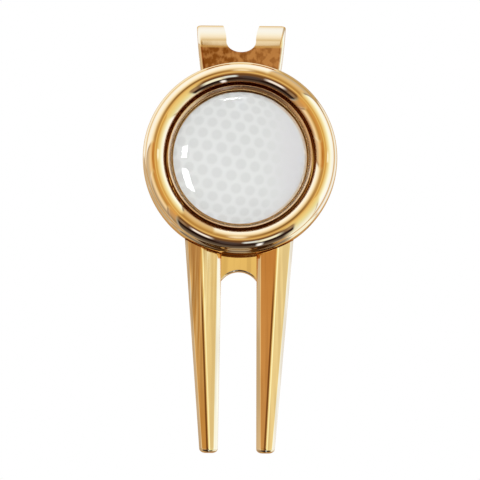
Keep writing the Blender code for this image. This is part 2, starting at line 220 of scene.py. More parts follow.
# Camera
VIEW_TILT = radians(9.0)                      # looks up from below
VIEW_ROLL = radians(0.6)
VIEW_WIDTH = 88.9 * MM                        # width of the picture at the head
VIEW_DISTANCE = 1.1
VIEW_DROP = 15.13 * MM                        # picture's centre below the head's centre
SENSOR = 36.0                                 # mm


# Meshes


def between(ends, share):
    return ends[0] + (ends[1] - ends[0]) * share


def eased(before, corner, after, radius, steps=CORNER_STEPS):
    """Points of a smooth curve that replaces a corner, reaching `radius` along both sides."""
    corner = Vector(corner)
    to_before, to_after = Vector(before) - corner, Vector(after) - corner
    start = corner + to_before * min(radius / to_before.length, 0.48)
    end = corner + to_after * min(radius / to_after.length, 0.48)
    curve = []
    for step in range(steps + 1):
        share = step / steps
        curve.append(start * (1 - share) ** 2 + corner * 2 * share * (1 - share) + end * share**2)
    return curve


def eased_outline(points, radii):
    """A closed outline with each corner eased by its own radius."""
    outline = []
    for index, (corner, radius) in enumerate(zip(points, radii)):
        after = points[(index + 1) % len(points)]
        outline += eased(points[index - 1], corner, after, radius)
    return outline


def shade(data):
    """Smooth shading that stops at sharp edges."""
    data.shade_smooth()
    data.set_sharp_from_angle(angle=SHARP_ANGLE)


def finished(name, mesh, material, body=None):
    """Turns a bmesh into a smoothly shaded piece, sharp at steep edges, attached to a body if one is
    given.
    """
    bmesh.ops.recalc_face_normals(mesh, faces=mesh.faces)
    data = bpy.data.meshes.new(name)
    mesh.to_mesh(data)
    mesh.free()
    shade(data)
    if material:
        data.materials.append(material)
    piece = bpy.data.objects.new(name, data)
    bpy.context.scene.collection.objects.link(piece)
    if body:
        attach(piece, body)
    return piece


def weighted_normals(piece):
    modifier = piece.modifiers.new("flat_faces", "WEIGHTED_NORMAL")
    modifier.keep_sharp = True
    return piece


def apply_modifiers(piece):
    """Replaces the piece's mesh with its evaluated one."""
    graph = bpy.context.evaluated_depsgraph_get()
    piece.data = bpy.data.meshes.new_from_object(piece.evaluated_get(graph))
    piece.modifiers.clear()


def lofted(rings, closed_ends=True):
    """A skin over rings of equally many points."""
    mesh = bmesh.new()
    loops = [[mesh.verts.new(point) for point in ring] for ring in rings]
    for lower, upper in zip(loops, loops[1:]):
        for i in range(len(lower)):
            j = (i + 1) % len(lower)
            mesh.faces.new((lower[i], lower[j], upper[j], upper[i]))
    if closed_ends:
        mesh.faces.new(loops[0])
        mesh.faces.new(reversed(loops[-1]))
    return mesh


def turned(profile, steps=TURN_STEPS):
    """A closed profile of (radius, depth) points turned about the head's axis."""
    rings = []
    for step in range(steps):
        angle = 2 * pi * step / steps
        across, up = cos(angle), sin(angle)
        rings.append([(r * across, BACK - depth, AXIS_Z + r * up) for r, depth in profile])
    mesh = lofted([*rings, rings[0]], closed_ends=False)
    bmesh.ops.remove_doubles(mesh, verts=mesh.verts, dist=1e-8)
    return mesh


def extruded(outline, front, back):
    """An outline of (x, z) points about the head's axis, between two depths."""
    return lofted([[(x, BACK - depth, AXIS_Z + z) for x, z in outline] for depth in (front, back)])


def cut_or_join(target, tool, operation):
    modifier = target.modifiers.new(operation.lower(), "BOOLEAN")
    modifier.operation = operation
    modifier.solver = "EXACT"
    modifier.object = tool
    apply_modifiers(target)
    bpy.data.objects.remove(tool)


# Node trees


class Nodes:
    """Adds nodes to a tree. Each method returns the socket that carries its result."""

    def __init__(self, tree):
        self.tree = tree

    def add(self, kind, **settings):
        node = self.tree.nodes.new(kind)
        for name, value in settings.items():
            setattr(node, name, value)
        return node

    def plug(self, socket, value):
        if isinstance(value, bpy.types.NodeSocket):
            self.tree.links.new(value, socket)
        else:
            socket.default_value = value

    def math(self, operation, *values, clamp=False):
        node = self.add("ShaderNodeMath", operation=operation, use_clamp=clamp)
        for socket, value in zip(node.inputs, values):
            self.plug(socket, value)
        return node.outputs[0]

    def vector(self, operation, *values):
        node = self.add("ShaderNodeVectorMath", operation=operation)
        sockets = [socket for socket in node.inputs if socket.enabled]
        for socket, value in zip(sockets, values):
            self.plug(socket, value)
        return node.outputs["Value" if operation in ("LENGTH", "DOT_PRODUCT", "DISTANCE") else "Vector"]

    def smooth(self, value, low, high, at_low=0.0, at_high=1.0):
        """Turns smoothly from at_low to at_high while the value goes from low to high."""
        node = self.add("ShaderNodeMapRange", interpolation_type="SMOOTHSTEP")
        for name, number in zip(
            ("Value", "From Min", "From Max", "To Min", "To Max"),
            (value, low, high, at_low, at_high),
        ):
            self.plug(node.inputs[name], number)
        return node.outputs[0]

    def mix(self, share, first, second, blend_type="MIX"):
        node = self.add("ShaderNodeMix", data_type="RGBA", blend_type=blend_type)
        for index, value in ((0, share), (6, first), (7, second)):
            self.plug(node.inputs[index], value)
        return node.outputs[2]

    def ramp(self, value, stops):
        """Colours by value: stops are (value, display colour), from low to high."""
        low, high = stops[0][0], stops[-1][0]
        node = self.add("ShaderNodeValToRGB")
        share = self.math("DIVIDE", self.math("SUBTRACT", value, low), high - low)
        self.plug(node.inputs[0], share)
        elements = node.color_ramp.elements
        elements[1].position = 1.0
        elements[1].color = rgba(stops[-1][1])
        elements[0].color = rgba(stops[0][1])
        for level, colour in stops[1:-1]:
            elements.new((level - low) / (high - low)).color = rgba(colour)
        return node.outputs[0]

    def window(self, value, low, high, soft):
        """1 between low and high, 0 outside, with soft edges."""
        rise = self.smooth(value, low - soft, low + soft)
        return self.math("MULTIPLY", rise, self.smooth(value, high - soft, high + soft, 1.0, 0.0))

    def noise(self, place, scale, detail=2.0, stretch=None):
        """Soft noise from 0 to 1; scale is in features per millimetre, stretch is per axis."""
        if stretch:
            place = self.vector("MULTIPLY", place, stretch)
        node = self.add("ShaderNodeTexNoise")
        self.plug(node.inputs["Vector"], place)
        node.inputs["Scale"].default_value = scale
        node.inputs["Detail"].default_value = detail
        return node.outputs["Fac"]

    def parts(self, vector):
        node = self.add("ShaderNodeSeparateXYZ")
        self.plug(node.inputs[0], vector)
        return node.outputs

    def bump(self, height, depth, normal=None):
        """A bump whose full height is `depth` metres."""
        node = self.add("ShaderNodeBump")
        node.inputs["Distance"].default_value = depth
        self.plug(node.inputs["Height"], height)
        if normal:
            self.plug(node.inputs["Normal"], normal)
        return node.outputs[0]


def rgba(text):
    """Linear colour of a display colour written as rrggbb."""
    values = [int(text[i:i + 2], 16) / 255 for i in (0, 2, 4)]
    linear = [v / 12.92 if v <= 0.04045 else ((v + 0.055) / 1.055) ** 2.4 for v in values]
    return (*linear, 1.0)


def new_material(name):
    """A material, its node helper, its Principled shader and the place in millimetres."""
    material = bpy.data.materials.new(name)
    material.use_nodes = True
    nodes = Nodes(material.node_tree)
    shader = material.node_tree.nodes["Principled BSDF"]
    place = nodes.add("ShaderNodeTexCoord").outputs["Object"]
    place = nodes.vector("SUBTRACT", place, (0, BACK, AXIS_Z))
    place = nodes.vector("MULTIPLY", place, (1 / MM, 1 / MM, 1 / MM))
    return material, nodes, shader, place


# Materials


def plated(name, colour_of, roughness, waviness=0.003 * MM, stretch=None, relief=None):
    """Mirror plating over a polished casting: faint waves, hairlines and cloudy polish marks."""
    material, nodes, shader, place = new_material(name)
    nodes.plug(shader.inputs["Base Color"], colour_of(nodes, place))
    shader.inputs["Metallic"].default_value = 1.0
    shader.inputs["Specular Tint"].default_value = (*GOLD, 1.0)
    cloud = nodes.noise(place, 0.35, 3.0)
    hairlines = nodes.noise(place, 6.0, 2.0, stretch or (1.0, 1.0, 0.12))
    hairlines = nodes.smooth(hairlines, 0.62, 0.78)
    rough = nodes.math("MULTIPLY_ADD", cloud, 0.03, roughness - 0.015)
    rough = nodes.math("MULTIPLY_ADD", hairlines, 0.04, rough)
    nodes.plug(shader.inputs["Roughness"], rough)
    waves = nodes.bump(nodes.noise(place, 0.45, 1.0, stretch), waviness)
    if relief:
        waves = nodes.bump(relief(nodes, place), STREAK_DEPTH, waves)
    peel = nodes.bump(nodes.noise(place, 3.0, 2.0), PEEL_DEPTH, waves)
    nodes.plug(shader.inputs["Normal"], peel)
    return material


def clouded(nodes, place, shades, scale, detail=2.0):
    """Soft clouds of two shades; scale is in clouds per millimetre."""
    return nodes.mix(nodes.noise(place, scale, detail), *shades)


def radius_about_axis(nodes, place):
    """Distance in millimetres from the head's axis."""
    return nodes.vector("LENGTH", nodes.vector("MULTIPLY", place, (1, 0, 1)))


def in_front(nodes, place):
    """1 on the tool's front, 0 on its back and on the lower part of its sides."""
    return nodes.smooth(nodes.parts(place)[1], -0.9, -1.2)


def plain_gold(nodes, place):
    return clouded(nodes, place, GOLD_SHADES, 0.2)


def polishing_streak(nodes, place):
    """Noise drawn out along the prongs."""
    return nodes.noise(place, 1.1, 2.5, (1.0, 1.0, 0.035))


def roughly_polished(nodes, place):
    """1 on the upper outer part of the left prong, which is polished less evenly, 0 elsewhere."""
    x, _, z = nodes.parts(place)[:3]
    upper = nodes.math("MULTIPLY", nodes.smooth(z, -40.0, -20.0), in_front(nodes, place))
    return nodes.math("MULTIPLY", nodes.smooth(x, -5.0, -6.5), upper)


def prong_relief(nodes, place):
    return nodes.math("MULTIPLY", polishing_streak(nodes, place), roughly_polished(nodes, place))


def streaked(nodes, place, colour):
    """Adds dark streaks, strongest where the prong is roughly polished, and bright ones there."""
    streak = polishing_streak(nodes, place)
    rough = roughly_polished(nodes, place)
    depth = nodes.math("MULTIPLY_ADD", in_front(nodes, place), 0.27, 0.08)
    depth = nodes.math("MULTIPLY_ADD", rough, 0.5, depth)
    dark = nodes.math("MULTIPLY", nodes.smooth(streak, 0.42, 0.60), depth)
    colour = nodes.mix(dark, colour, DARK_STREAK)
    bright = nodes.math("MULTIPLY", nodes.smooth(streak, 0.46, 0.34), rough)
    return nodes.mix(bright, colour, BRIGHT_STREAK)


def beside_ridge(nodes, place):
    """Millimetres from the nearer prong's ridge line, positive to the right of it."""
    x, _, z = nodes.parts(place)[:3]
    length = (PRONG_TOP + HEAD_HEIGHT) / MM
    share = nodes.math("DIVIDE", nodes.math("SUBTRACT", PRONG_TOP / MM, z), length)
    top, tip = (reach / MM for reach in PRONG_RIDGE)
    ridge = nodes.math("MULTIPLY_ADD", share, tip - top, top)
    return nodes.math("SUBTRACT", x, nodes.math("MULTIPLY", nodes.math("SIGN", x), ridge))


def fork_gold(nodes, place):
    """Gold with polishing streaks along the prongs, and along each ridge a painted dark reflection and a
    painted highlight.
    """
    colour = streaked(nodes, place, plain_gold(nodes, place))
    beside = beside_ridge(nodes, place)
    front = in_front(nodes, place)
    lower = nodes.math("MULTIPLY", nodes.smooth(nodes.parts(place)[2], -18.0, -30.0), front)
    # painted dark reflection left of each ridge on the lower front, painted highlight right of it
    dark_reflection_mask = nodes.math("MULTIPLY", nodes.window(beside, -0.36, -0.02, 0.05), lower)
    colour = nodes.mix(dark_reflection_mask, colour, RIDGE_DARK_REFLECTION)
    highlight_mask = nodes.math("MULTIPLY", nodes.window(beside, 0.04, 0.36, 0.06), front)
    colour = nodes.mix(highlight_mask, colour, RIDGE_HIGHLIGHT)
    return groove_shaded(nodes, place, colour)


def groove_shaded(nodes, place, colour):
    """Paints shade: turns a colour nearly black in the narrow groove between the ring and the cup."""
    within = nodes.window(radius_about_axis(nodes, place), *GROOVE, 0.05)
    return nodes.mix(nodes.math("MULTIPLY", within, in_front(nodes, place)), colour, GROOVE_SHADE)


def ring_gold(nodes, place):
    """Gold with painted shade: reddish brown towards the groove, nearly black in it."""
    colour = plain_gold(nodes, place)
    # painted shade: reddish brown from 14.4 mm in to 13.9 mm from the axis
    edge = nodes.smooth(radius_about_axis(nodes, place), 14.4, 13.9)
    colour = nodes.mix(edge, colour, nodes.mix(1.0, colour, BORE_SHADE, "MULTIPLY"))
    return groove_shaded(nodes, place, colour)


def cup_gold(nodes, place):
    return groove_shaded(nodes, place, clouded(nodes, place, CUP_SHADES, 0.3))


def rim_gold(nodes, place):
    return clouded(nodes, place, RIM_SHADES, 0.3)


def strip_gold(nodes, place):
    return clouded(nodes, place, STRIP_SHADES, 0.5, 3.0)


def stained_and_shaded_clip(nodes, place):
    """Mottled copper brown where the strip stands flat, partly stain and partly painted dark reflection,
    lighter towards the right; plain gold along its sideways-facing rounded edges and from the bend on."""
    x, y, height = nodes.parts(place)[:3]
    flat_end = BEND_START / MM
    # painted: the flat's dark reflection gives way to plain gold sharply where the bend starts, and
    # behind the back
    above = nodes.smooth(height, flat_end - 0.15, flat_end + 0.25)
    bend = nodes.math("MAXIMUM", above, nodes.smooth(y, 1.5, 2.0))
    # sideways-facing surfaces get plain gold, so the painted dark reflection stays on the forward-facing
    # flat
    sideways = nodes.parts(nodes.add("ShaderNodeNewGeometry").outputs["Normal"])[0]
    edge = nodes.smooth(nodes.math("ABSOLUTE", sideways), 0.15, 0.5)
    cloud = nodes.noise(place, 0.9, 5.0, (1.0, 1.0, 0.8))
    # lighter towards the right
    slope = nodes.smooth(x, -7.0, 7.0, -0.25, 0.45)
    share = nodes.math("ADD", nodes.smooth(cloud, 0.38, 0.64), slope, clamp=True)
    stained_and_shaded = nodes.mix(share, *STAIN_AND_DARK_REFLECTION_SHADES)
    return nodes.mix(nodes.math("MAXIMUM", bend, edge), stained_and_shaded, PLAIN_STRIP_GOLD)


def nickel():
    """Nickel with faint rings from turning."""
    material, nodes, shader, place = new_material("nickel")
    rings = nodes.add("ShaderNodeTexNoise", noise_dimensions="1D")
    nodes.plug(rings.inputs["W"], radius_about_axis(nodes, place))
    rings.inputs["Scale"].default_value = 9.0
    nodes.plug(shader.inputs["Base Color"], clouded(nodes, place, NICKEL_SHADES, 0.6, 3.0))
    shader.inputs["Metallic"].default_value = 1.0
    nodes.plug(shader.inputs["Roughness"], nodes.math("MULTIPLY_ADD", rings.outputs["Fac"], 0.2, 0.18))
    nodes.plug(shader.inputs["Normal"], nodes.bump(rings.outputs["Fac"], 0.002 * MM))
    return material


def unrolled_ball(nodes, place):
    """The place on the printed ball, unrolled to arcs from its centre and turned to its dimple rows."""
    x, _, z = nodes.parts(place)[:3]
    flat = nodes.add("ShaderNodeCombineXYZ")
    nodes.plug(flat.inputs[0], x)
    nodes.plug(flat.inputs[1], z)
    from_ball = nodes.vector("SUBTRACT", flat.outputs[0], (*BALL_CENTRE, 0))
    share = nodes.math("DIVIDE", nodes.vector("LENGTH", from_ball), BALL_RADIUS)
    share = nodes.math("MINIMUM", nodes.math("MAXIMUM", share, 0.01), 0.99)
    unrolled = nodes.add("ShaderNodeVectorMath", operation="SCALE")
    nodes.plug(unrolled.inputs[0], from_ball)
    nodes.plug(unrolled.inputs["Scale"], nodes.math("DIVIDE", nodes.math("ARCSINE", share), share))
    turn = nodes.add("ShaderNodeVectorRotate", rotation_type="Z_AXIS")
    turn.inputs["Angle"].default_value = DIMPLE_TURN
    nodes.plug(turn.inputs["Vector"], unrolled.outputs[0])
    return turn.outputs[0]


def dimples(nodes, place):
    """1 in the dimples, 0 between them. Two rectangular lattices make up the hexagonal rows."""
    cell = (DIMPLE_PITCH, DIMPLE_PITCH * sqrt(3), 1)
    cells = nodes.vector("DIVIDE", unrolled_ball(nodes, place), cell)
    distances = []
    for shift in (0.0, 0.5):
        inside = nodes.vector("FRACTION", nodes.vector("ADD", cells, (shift, shift, 0)))
        inside = nodes.vector("MULTIPLY", nodes.vector("SUBTRACT", inside, (0.5, 0.5, 0)), cell)
        distances.append(nodes.vector("LENGTH", nodes.vector("MULTIPLY", inside, (1, 1, 0))))
    nearest = nodes.math("MINIMUM", *distances)
    return nodes.smooth(nearest, DIMPLE_RADIUS + DIMPLE_SOFT, DIMPLE_RADIUS - DIMPLE_SOFT)


def dimpled_print():
    """A pale print of a dimpled ball, whose dimples fade to the right, with a painted warm reflection of
    the gold rim along its right edge.
    """
    material, nodes, shader, place = new_material("dimpled_print")
    x = nodes.parts(place)[0]
    fade = nodes.smooth(x, 3.0, 10.5, 1.0, 0.0)
    dimple = nodes.math("MULTIPLY", dimples(nodes, place), fade)
    ground = nodes.mix(fade, rgba("e2e2e4"), rgba("eaeceb"))
    blotches = nodes.noise(place, 0.5, 2.0)
    ground = nodes.mix(nodes.math("MULTIPLY", blotches, 0.12), ground, rgba("d5d7d9"))
    colour = nodes.mix(dimple, ground, rgba("dfe1e0"))
    # painted warm reflection of the gold rim, seen through the resin, along the print's right edge
    edge = nodes.smooth(radius_about_axis(nodes, place), 11.8, 12.1)
    edge = nodes.math("MULTIPLY", edge, nodes.smooth(x, 3.0, 9.0))
    nodes.plug(shader.inputs["Base Color"], nodes.mix(edge, colour, rgba("dccbb4")))
    shader.inputs["Specular IOR Level"].default_value = 0.0
    shader.inputs["Roughness"].default_value = 0.5
    nodes.plug(shader.inputs["Normal"], nodes.bump(dimple, 0.002 * MM))
    return material


def clear_resin():
    material, nodes, shader, place = new_material("clear_resin")
    shader.inputs["Base Color"].default_value = (1.0, 1.0, 1.0, 1)
    shader.inputs["Transmission Weight"].default_value = 1.0
    shader.inputs["IOR"].default_value = 1.3
    cloud = nodes.noise(place, 0.4, 2.0)
    nodes.plug(shader.inputs["Roughness"], nodes.math("MULTIPLY", cloud, 0.03))
    return material


# Head


def bezel_ring(material):
    """Half-round front, bevelled shoulder and straight side."""
    back = BACK - RING_HIGH.y
    crest = BACK - RING_LOW.y
    shoulder, foot = (RING_EDGE_RADIUS, RING_SHOULDER), (HEAD_RADIUS, RING_BEVEL)
    inside, outside = (RING_BORE, back), (HEAD_RADIUS, back)
    profile = eased(outside, inside, (RING_BORE, RING_SHOULDER), RING_BORE_ROUND)
    for step in range(HALF_ROUND_STEPS + 1):
        angle = pi * (1 - step / HALF_ROUND_STEPS)
        foot_radius = RING_BORE if angle > pi / 2 else RING_EDGE_RADIUS
        radius = RING_CREST_RADIUS + abs(foot_radius - RING_CREST_RADIUS) * cos(angle)
        profile.append(Vector((radius, RING_SHOULDER + (crest - RING_SHOULDER) * sin(angle))))
    profile += eased(shoulder, foot, outside, RING_SHOULDER_ROUND, SHOULDER_STEPS)
    profile += eased(foot, outside, inside, RING_SIDE_ROUND)
    return weighted_normals(finished("bezel_ring_visual", turned(profile), material, "fork"))


def seat_cup(material):
    """Pressed cup with a rolled lip and a flared mouth, open over the magnet."""
    back, front = BACK - CUP_HIGH.y, BACK - CUP_LOW.y
    outside = CUP_HIGH.x
    opening = MAGNET_RADIUS + SEAT_GAP
    floor = back + CUP_FLOOR
    corners = [(opening, back), (outside, back), (outside, front), (CUP_MOUTH, front),
               (CUP_BORE, CUP_STRAIGHT), (CUP_BORE, floor), (opening, floor)]
    radii = [0.05 * MM, 0.15 * MM, 0.2 * MM, 0.2 * MM, 0.4 * MM, 0.15 * MM, 0.05 * MM]
    profile = eased_outline(corners, radii)
    return weighted_normals(finished("seat_cup_visual", turned(profile), material, "fork"))


# Ball marker


def marker_disc(material):
    """The dish, with a thin raised rim."""
    back, front = BACK - DISC_HIGH.y, BACK - DISC_LOW.y
    outside, inside = MARKER_RADIUS, MARKER_RADIUS - MARKER_RIM
    floor = back + MARKER_FLOOR
    profile = [(0, back), *eased((0, back), (outside, back), (outside, front), 0.12 * MM),
               *eased((outside, back), (outside, front), (inside, front), 0.08 * MM),
               *eased((outside, front), (inside, front), (inside, floor), 0.06 * MM),
               (inside, floor), (0, floor)]
    return weighted_normals(finished("marker_disc_visual", turned(profile), material, "marker"))


def marker_print(material):
    back, front = BACK - PRINT_HIGH.y, BACK - PRINT_LOW.y
    foot, edge, middle = (PRINT_RADIUS, back), (PRINT_RADIUS, front), (0, front)
    profile = [(0, back), foot, *eased(foot, edge, middle, PRINT_ROUND), middle]
    return weighted_normals(finished("marker_print_visual", turned(profile), material, "marker"))


def marker_dome(material):
    """Resin that stands up at its edge by surface tension and is nearly flat in the middle."""
    back, front = BACK - DOME_HIGH.y, BACK - DOME_LOW.y
    crown = front - back - DOME_EDGE
    profile = [(0, back), (PRINT_RADIUS, back)]
    for step in range(DOME_STEPS):
        share = 1 - (step / DOME_STEPS) ** 2
        profile.append((PRINT_RADIUS * share, back + DOME_EDGE + crown * (1 - share**DOME_POWER)))
    profile.append((0, front))
    return weighted_normals(finished("marker_dome_visual", turned(profile), material, "marker"))


# Fork


def prong_section(z, share, inset):
    """The prong's cross-section: flat back, side walls, drafted strips and a softly rounded ridge."""
    inner = between(PRONG_INNER, share) + inset
    outer = between(PRONG_OUTER, share) - inset
    ridge = between(PRONG_RIDGE, share)
    wall = between(PRONG_WALL, share)
    strip = wall + between(PRONG_DRAFT, share)
    top = strip + between(PRONG_RISE, share)
    lower = 1 - TIP_LOWER * inset / TIP_ROUND
    narrower = 1 - TIP_NARROWER * inset / TIP_ROUND
    corners = [
        (inner, 0), (outer, 0), (outer, wall), (outer - OUTER_STRIP * narrower, strip * lower),
        (ridge, top * lower), (inner + INNER_STRIP * narrower, strip * lower), (inner, wall),
    ]
    radii = [0.15 * MM, 0.15 * MM, 0.06 * MM, 0.14 * MM, RIDGE_ROUND, 0.14 * MM, 0.06 * MM]
    outline = eased_outline(corners, radii)
    return [(x, BACK - PRONG_BACK - height, AXIS_Z + z) for x, height in outline]


def prong(side):
    """One prong with its rounded tip, cut back at the ring's side."""
    tip = FORK_LOW.z - AXIS_Z
    length = PRONG_TOP - tip
    stations = [(PRONG_TOP - length * step / PRONG_STEPS, 0.0) for step in range(PRONG_STEPS)]
    for step in range(TIP_STEPS + 1):
        angle = pi / 2 * step / TIP_STEPS
        stations.append((tip + TIP_HEIGHT * (1 - sin(angle)), TIP_ROUND * (1 - cos(angle))))
    rings = [prong_section(z, (PRONG_TOP - z) / length, inset) for z, inset in stations]
    mesh = lofted(rings)
    bmesh.ops.scale(mesh, verts=mesh.verts, vec=(side, 1, 1))
    piece = finished("prong", mesh, None)
    reach = HEAD_RADIUS + RING_CLEARANCE
    front = BACK - RING_LOW.y + CUT_MARGIN
    space = [(0, PLATE_THICKNESS), (reach, PLATE_THICKNESS), (reach, front), (0, front)]
    cut_or_join(piece, finished("ring_space", turned(space), None), "DIFFERENCE")
    return piece


def web():
    """The web between the prongs, with an arched lower edge."""
    reach = (PRONG_INNER[0] + PRONG_RIDGE[0]) / 2
    half_chord = between(PRONG_INNER, ARCH_SHARE)
    centre = ARCH_TOP - ARCH_RADIUS
    half_angle = asin(half_chord / ARCH_RADIUS)
    edge = WEB_EDGE
    rounding = [(WEB_FRONT, edge), (WEB_FRONT - edge / 3, edge / 3), (WEB_FRONT - edge, 0)]
    rings = []
    for depth, rise in (*rounding, (PRONG_BACK, 0)):
        arch = []
        for step in range(ARCH_STEPS + 1):
            angle = half_angle * (1 - 2 * step / ARCH_STEPS)
            arch.append((ARCH_RADIUS * sin(angle), centre + rise + ARCH_RADIUS * cos(angle)))
        spring = arch[0][1]
        outline = [(-reach, WEB_TOP), (reach, WEB_TOP), (reach, spring), *arch, (-reach, spring)]
        rings.append([(x, BACK - depth, AXIS_Z + z) for x, z in outline])
    return finished("web", lofted(rings), None)


def fork(material):
    """The casting: head plate with the magnet's pocket, two prongs and the web."""
    outside = FORK_HIGH.x
    pocket = MAGNET_RADIUS + SEAT_GAP
    floor = BACK - MAGNET_BACK - SEAT_GAP
    back_edge, front_edge = (outside, 0), (outside, PLATE_THICKNESS)
    profile = [(0, 0), *eased((0, 0), back_edge, front_edge, PLATE_ROUND[0]),
               *eased(back_edge, front_edge, (0, PLATE_THICKNESS), PLATE_ROUND[1]),
               (pocket, PLATE_THICKNESS), (pocket, floor), (0, floor)]
    body = finished("fork_visual", turned(profile), material)
    for side in (-1, 1):
        cut_or_join(body, prong(side), "UNION")
    cut_or_join(body, web(), "UNION")
    shade(body.data)
    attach(body, "fork")
    return weighted_normals(body)


# Spring clip


def strip_half_width(z):
    low, high = STRIP_FLARE
    share = min(max((z - low) / (high - low), 0), 1)
    return between((STRIP_NARROW, STRIP_WIDE), share * (1.5 - 0.5 * share))


def strip_section(y, z, lean, half_width):
    """A rectangle across the strip with eased edges; lean is the strip's direction."""
    half = STRIP_THICKNESS / 2
    wide, deep = STRIP_BEVEL
    outline = []
    for side_x, side_d in ((1, -1), (1, 1), (-1, 1), (-1, -1)):
        for step in range(CORNER_STEPS + 1):
            turn = pi / 2 * step / CORNER_STEPS
            if side_x * side_d > 0:
                turn = pi / 2 - turn
            x = half_width - wide + wide * sin(turn)
            d = half - deep + deep * cos(turn)
            outline.append((side_x * x, side_d * d))
    return [(x, BACK + y + d * cos(lean), AXIS_Z + z - d * sin(lean)) for x, d in outline]


def bend_path():
    """Middle line of the fixed leg, the bend and the start of the rear leg, as (y, z, lean)."""
    leg = PLATE_LOW.y - BACK + STRIP_THICKNESS / 2
    across = BEND_DEPTH - STRIP_THICKNESS / 2
    upward = BEND_HEIGHT - STRIP_THICKNESS / 2
    last = atan2(tan(ARM_LEAN) * upward, across)
    path = [(leg, PLATE_LOW.z - AXIS_Z, 0.0), (leg, STRIP_FLARE[0], 0.0)]
    for step in range(1, FLARE_STEPS):
        path.append((leg, between((STRIP_FLARE[0], BEND_START), step / FLARE_STEPS), 0.0))
    for step in range(BEND_STEPS + 1):
        angle = pi - (pi + last) * step / BEND_STEPS
        lean = atan2(across * sin(angle), -upward * cos(angle))
        path.append((leg + across + across * cos(angle), BEND_START + upward * sin(angle), lean))
    y, z, lean = path[-1]
    path.append((y + BEND_TAIL * sin(lean), z + BEND_TAIL * cos(lean), lean))
    return path


def clip_notch():
    """A U-shaped cutter through the bend, flaring ever more towards its mouth."""
    centre = NOTCH_BOTTOM + NOTCH_ROUND
    height = BEND_START + BEND_HEIGHT - centre
    top_share = 1 + CUT_MARGIN / height
    side = []
    for step in range(NOTCH_STEPS):
        share = top_share * (1 - step / NOTCH_STEPS)
        side.append((between((NOTCH_HALF, NOTCH_MOUTH), share**2), centre + height * share))
    outline = list(side)
    for step in range(NOTCH_STEPS + 1):
        angle = -pi * step / NOTCH_STEPS
        outline.append((NOTCH_HALF * cos(angle), centre + NOTCH_ROUND * sin(angle)))
    outline += [(-x, z) for x, z in reversed(side)]
    return finished("notch", extruded(outline, CUT_MARGIN, -3 * BEND_DEPTH), None)


def clip_strip(material):
    """Fixed leg and bend, notched at the top."""
    rings = [strip_section(y, z, lean, strip_half_width(z)) for y, z, lean in bend_path()]
    piece = finished("clip_strip", lofted(rings), material)
    cut_or_join(piece, clip_notch(), "DIFFERENCE")
    shade(piece.data)
    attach(piece, "fork")
    return weighted_normals(piece)


def clip_tongue(material):
    """Rear leg of the strip: leans in to the pinch, then turns out along a tapering lip."""
    y, z, _ = bend_path()[-1]
    lean = pi + ARM_LEAN
    run = (z - ARM_PINCH) / cos(ARM_LEAN)
    path = []
    for step in range(ARM_STEPS + 1):
        along = run * step / ARM_STEPS
        path.append((y + along * sin(lean), z + along * cos(lean), lean))
    y, z, _ = path[-1]
    for _ in range(LIP_STEPS):
        lean -= LIP_TURN / LIP_STEPS
        y += LIP_RADIUS * LIP_TURN / LIP_STEPS * sin(lean)
        z += LIP_RADIUS * LIP_TURN / LIP_STEPS * cos(lean)
        path.append((y, z, lean))
    end = z + LIP_LENGTH * cos(lean)
    for step in range(1, LIP_STEPS + 1):
        along = LIP_LENGTH * step / LIP_STEPS
        path.append((y + along * sin(lean), z + along * cos(lean), lean))
    rings = []
    for y, z, lean in path:
        share = max((ARM_PINCH - z) / (ARM_PINCH - end), 0)
        half_width = between((strip_half_width(z), ARM_TONGUE), share**2)
        rings.append(strip_section(y, z, lean, half_width))
    piece = weighted_normals(finished("clip_tongue", lofted(rings), material))
    y, z, lean = path[0]
    start = Vector((0, BACK + y, AXIS_Z + z))
    end = start + Vector((0, ARM_BLEND * sin(lean), ARM_BLEND * cos(lean)))
    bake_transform(piece)
    return piece


# Studio


